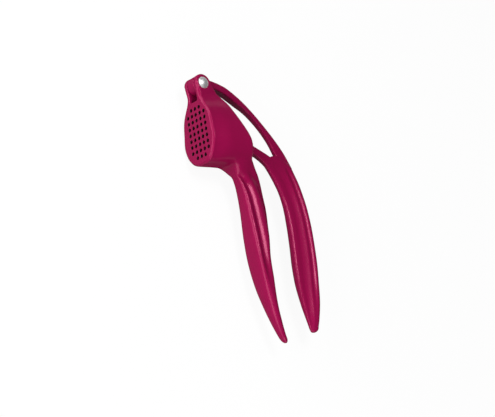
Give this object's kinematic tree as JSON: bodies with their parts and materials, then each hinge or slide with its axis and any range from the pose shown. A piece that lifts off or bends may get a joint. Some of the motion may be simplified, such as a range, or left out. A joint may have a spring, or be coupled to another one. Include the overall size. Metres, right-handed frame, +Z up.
{
  "type": "garlic press",
  "caption": "Hand garlic press: a perforated chamber with its handle, and a hinged lever whose strut drives a pressing plate into the chamber.",
  "frame": {"origin": "middle of the footprint, on the floor under the press lying on its side", "axes": "+X from the hinge down to the handle tips, +Y from the sieve towards the lever, +Z up along the hinge axis"},
  "size_m": [0.1676, 0.081, 0.0328],
  "materials": {
    "coating": "gloss",
    "plunger_coating": "satin",
    "steel": "brushed",
    "chrome": "polished"
  },
  "bodies": {
    "body": {"chamber_handle": "coating", "hinge_rivet": "chrome", "hinge_rivet_stud": "chrome"},
    "lever": {"lever_handle": "coating"},
    "plunger": {"plunger": "plunger_coating", "plunger_pin": "steel"}
  },
  "joints": [
    {"name": "lever_hinge", "type": "hinge", "parent": "body", "child": "lever", "pos_m": [-0.07801, -0.03472, 0.01642], "axis": [0, 0, 1], "range_deg": [-6, 150]},
    {"name": "plunger_hinge", "type": "hinge", "parent": "lever", "child": "plunger", "pos_m": [-0.0517, -0.02483, 0.01642], "axis": [0, 0, 1], "range_deg": [-1.8, 45]}
  ],
  "couplings": [
    {"joint": "plunger_hinge", "follows": "lever_hinge", "ratio": 0.3}
  ]
}
